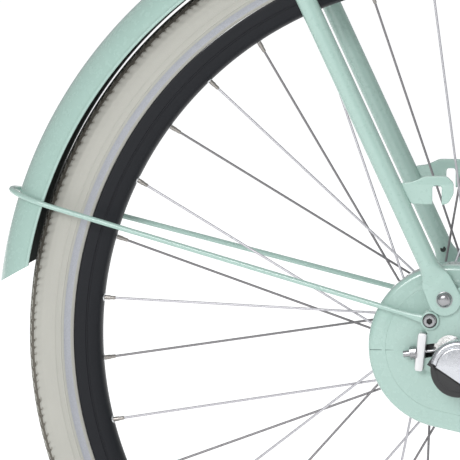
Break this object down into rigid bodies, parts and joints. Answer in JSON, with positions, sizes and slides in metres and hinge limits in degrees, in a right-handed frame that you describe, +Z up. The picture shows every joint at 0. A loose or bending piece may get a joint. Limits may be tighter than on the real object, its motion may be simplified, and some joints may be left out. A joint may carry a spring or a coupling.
{
  "type": "adult tricycle",
  "caption": "Three-wheeled pedal cycle for adults with two steered front wheels, a chain-driven rear wheel in a full chain case, mudguards and a rear rack.",
  "frame": {"origin": "on the ground, under the middle of the whole tricycle's box", "axes": "+X forward, +Y to the rider's left, +Z up"},
  "size_m": [1.6808, 0.692, 1.0567],
  "materials": {
    "mint_paint": "gloss",
    "mint_sheet": "gloss",
    "bright_steel": "satin",
    "polished_alloy": "polished",
    "dark_steel": "oiled",
    "black_plastic": "matt",
    "black_rim": "satin",
    "cream_tyre": "matt",
    "brown_leather": "satin"
  },
  "bodies": {
    "frame": {"head_tube": "mint_paint", "main_tube": "mint_paint", "keel_tube": "mint_paint", "seat_tube": "mint_paint", "bottom_bracket_shell": "mint_paint", "chain_stays": "mint_paint", "seat_stays": "mint_paint", "dropouts": "mint_paint", "cross_beam": "mint_paint", "beam_struts": "mint_paint", "kingpin_sleeves": "mint_paint", "bearing_cups": "bright_steel", "seat_clamp": "bright_steel", "rear_axle": "bright_steel", "rear_axle_nuts": "bright_steel", "chain_tensioners": "bright_steel", "brake_arm": "bright_steel", "chain_case_outer": "mint_sheet", "chain_case_inner": "mint_sheet", "chain": "dark_steel", "shift_cover": "polished_alloy", "shift_base": "black_plastic", "rack_platform": "mint_paint", "rack_legs": "mint_paint", "rack_bolts": "bright_steel", "rear_mudguard": "mint_sheet", "mudguard_stay": "mint_sheet"},
    "rear_wheel": {"rear_tyre": "cream_tyre", "rear_rim": "black_rim", "rear_spokes": "bright_steel", "rear_hub": "polished_alloy"},
    "rear_drive": {"rear_sprocket": "bright_steel"},
    "cranks": {"crank_axle": "bright_steel", "crank_left": "polished_alloy", "crank_right": "polished_alloy", "chainring": "dark_steel"},
    "pedal_left": {"pedal_left": "black_plastic"},
    "pedal_right": {"pedal_right": "black_plastic"},
    "steering": {"steering_column": "polished_alloy", "stem": "polished_alloy", "handlebar": "polished_alloy", "grips": "brown_leather", "bell": "polished_alloy"},
    "shifter": {"shift_grip": "black_plastic"},
    "bell_lever": {"bell_lever": "polished_alloy"},
    "knuckle_left": {"knuckle_left": "mint_paint", "front_mudguard_left": "mint_sheet"},
    "knuckle_right": {"knuckle_right": "mint_paint", "front_mudguard_right": "mint_sheet"},
    "tie_rod_left": {"tie_rod_left": "bright_steel"},
    "tie_rod_right": {"tie_rod_right": "bright_steel"},
    "front_wheel_left": {"front_tyre_left": "cream_tyre", "front_rim_left": "black_rim", "front_hub_left": "polished_alloy"},
    "front_wheel_right": {"front_tyre_right": "cream_tyre", "front_rim_right": "black_rim", "front_hub_right": "polished_alloy"},
    "seat": {"seat_post": "bright_steel", "saddle_rails": "bright_steel", "saddle": "brown_leather"}
  },
  "joints": [
    {"name": "rear_wheel_spin", "type": "hinge", "parent": "frame", "child": "rear_wheel", "pos_m": [-0.46048, 0, 0.355], "axis": [0, 1, 0], "continuous": true},
    {"name": "crank_spin", "type": "hinge", "parent": "frame", "child": "cranks", "pos_m": [0.01452, 0, 0.29], "axis": [0, 1, 0], "continuous": true, "deforming": ["chain"]},
    {"name": "sprocket_spin", "type": "hinge", "parent": "frame", "child": "rear_drive", "pos_m": [-0.46048, 0, 0.355], "axis": [0, 1, 0], "continuous": true},
    {"name": "pedal_left_spin", "type": "hinge", "parent": "cranks", "child": "pedal_left", "pos_m": [-0.15548, 0.129, 0.29], "axis": [0, 1, 0], "continuous": true},
    {"name": "pedal_right_spin", "type": "hinge", "parent": "cranks", "child": "pedal_right", "pos_m": [0.18452, -0.129, 0.29], "axis": [0, 1, 0], "continuous": true},
    {"name": "handlebar_turn", "type": "hinge", "parent": "frame", "child": "steering", "pos_m": [0.48755, 0, 0.56385], "axis": [-0.309, 0, 0.9511], "range_deg": [-35, 35]},
    {"name": "shift_twist", "type": "hinge", "parent": "steering", "child": "shifter", "pos_m": [0.34571, -0.21166, 1.02086], "axis": [-0.496, -0.868, 0.0248], "range_deg": [-60, 60]},
    {"name": "bell_lever_push", "type": "hinge", "parent": "steering", "child": "bell_lever", "pos_m": [0.36547, 0.104, 1.03367], "axis": [0, 0, 1], "range_deg": [0, 40], "stiffness_Nm_per_rad": 0.06},
    {"name": "steer_left", "type": "hinge", "parent": "frame", "child": "knuckle_left", "pos_m": [0.55553, 0.235, 0.35462], "axis": [-0.309, 0, 0.9511], "range_deg": [-35, 35]},
    {"name": "steer_right", "type": "hinge", "parent": "frame", "child": "knuckle_right", "pos_m": [0.55553, -0.235, 0.35462], "axis": [-0.309, 0, 0.9511], "range_deg": [-35, 35]},
    {"name": "tie_rod_left_pivot", "type": "hinge", "parent": "knuckle_left", "child": "tie_rod_left", "pos_m": [0.44392, 0.235, 0.40688], "axis": [-0.309, 0, 0.9511], "range_deg": [-35, 35]},
    {"name": "tie_rod_right_pivot", "type": "hinge", "parent": "knuckle_right", "child": "tie_rod_right", "pos_m": [0.45146, -0.235, 0.38368], "axis": [-0.309, 0, 0.9511], "range_deg": [-35, 35]},
    {"name": "front_wheel_left_spin", "type": "hinge", "parent": "knuckle_left", "child": "front_wheel_left", "pos_m": [0.58952, 0.3, 0.25], "axis": [0, 1, 0], "continuous": true},
    {"name": "front_wheel_right_spin", "type": "hinge", "parent": "knuckle_right", "child": "front_wheel_right", "pos_m": [0.58952, -0.3, 0.25], "axis": [0, 1, 0], "continuous": true},
    {"name": "seat_height", "type": "slide", "parent": "frame", "child": "seat", "axis": [-0.3584, 0, 0.9336], "range_m": [-0.05, 0.08]}
  ],
  "couplings": [
    {"joint": "sprocket_spin", "follows": "crank_spin", "ratio": 2.2},
    {"joint": "steer_left", "follows": "handlebar_turn", "ratio": 1},
    {"joint": "steer_right", "follows": "handlebar_turn", "ratio": 1},
    {"joint": "tie_rod_left_pivot", "follows": "handlebar_turn", "ratio": -1},
    {"joint": "tie_rod_right_pivot", "follows": "handlebar_turn", "ratio": -1}
  ]
}
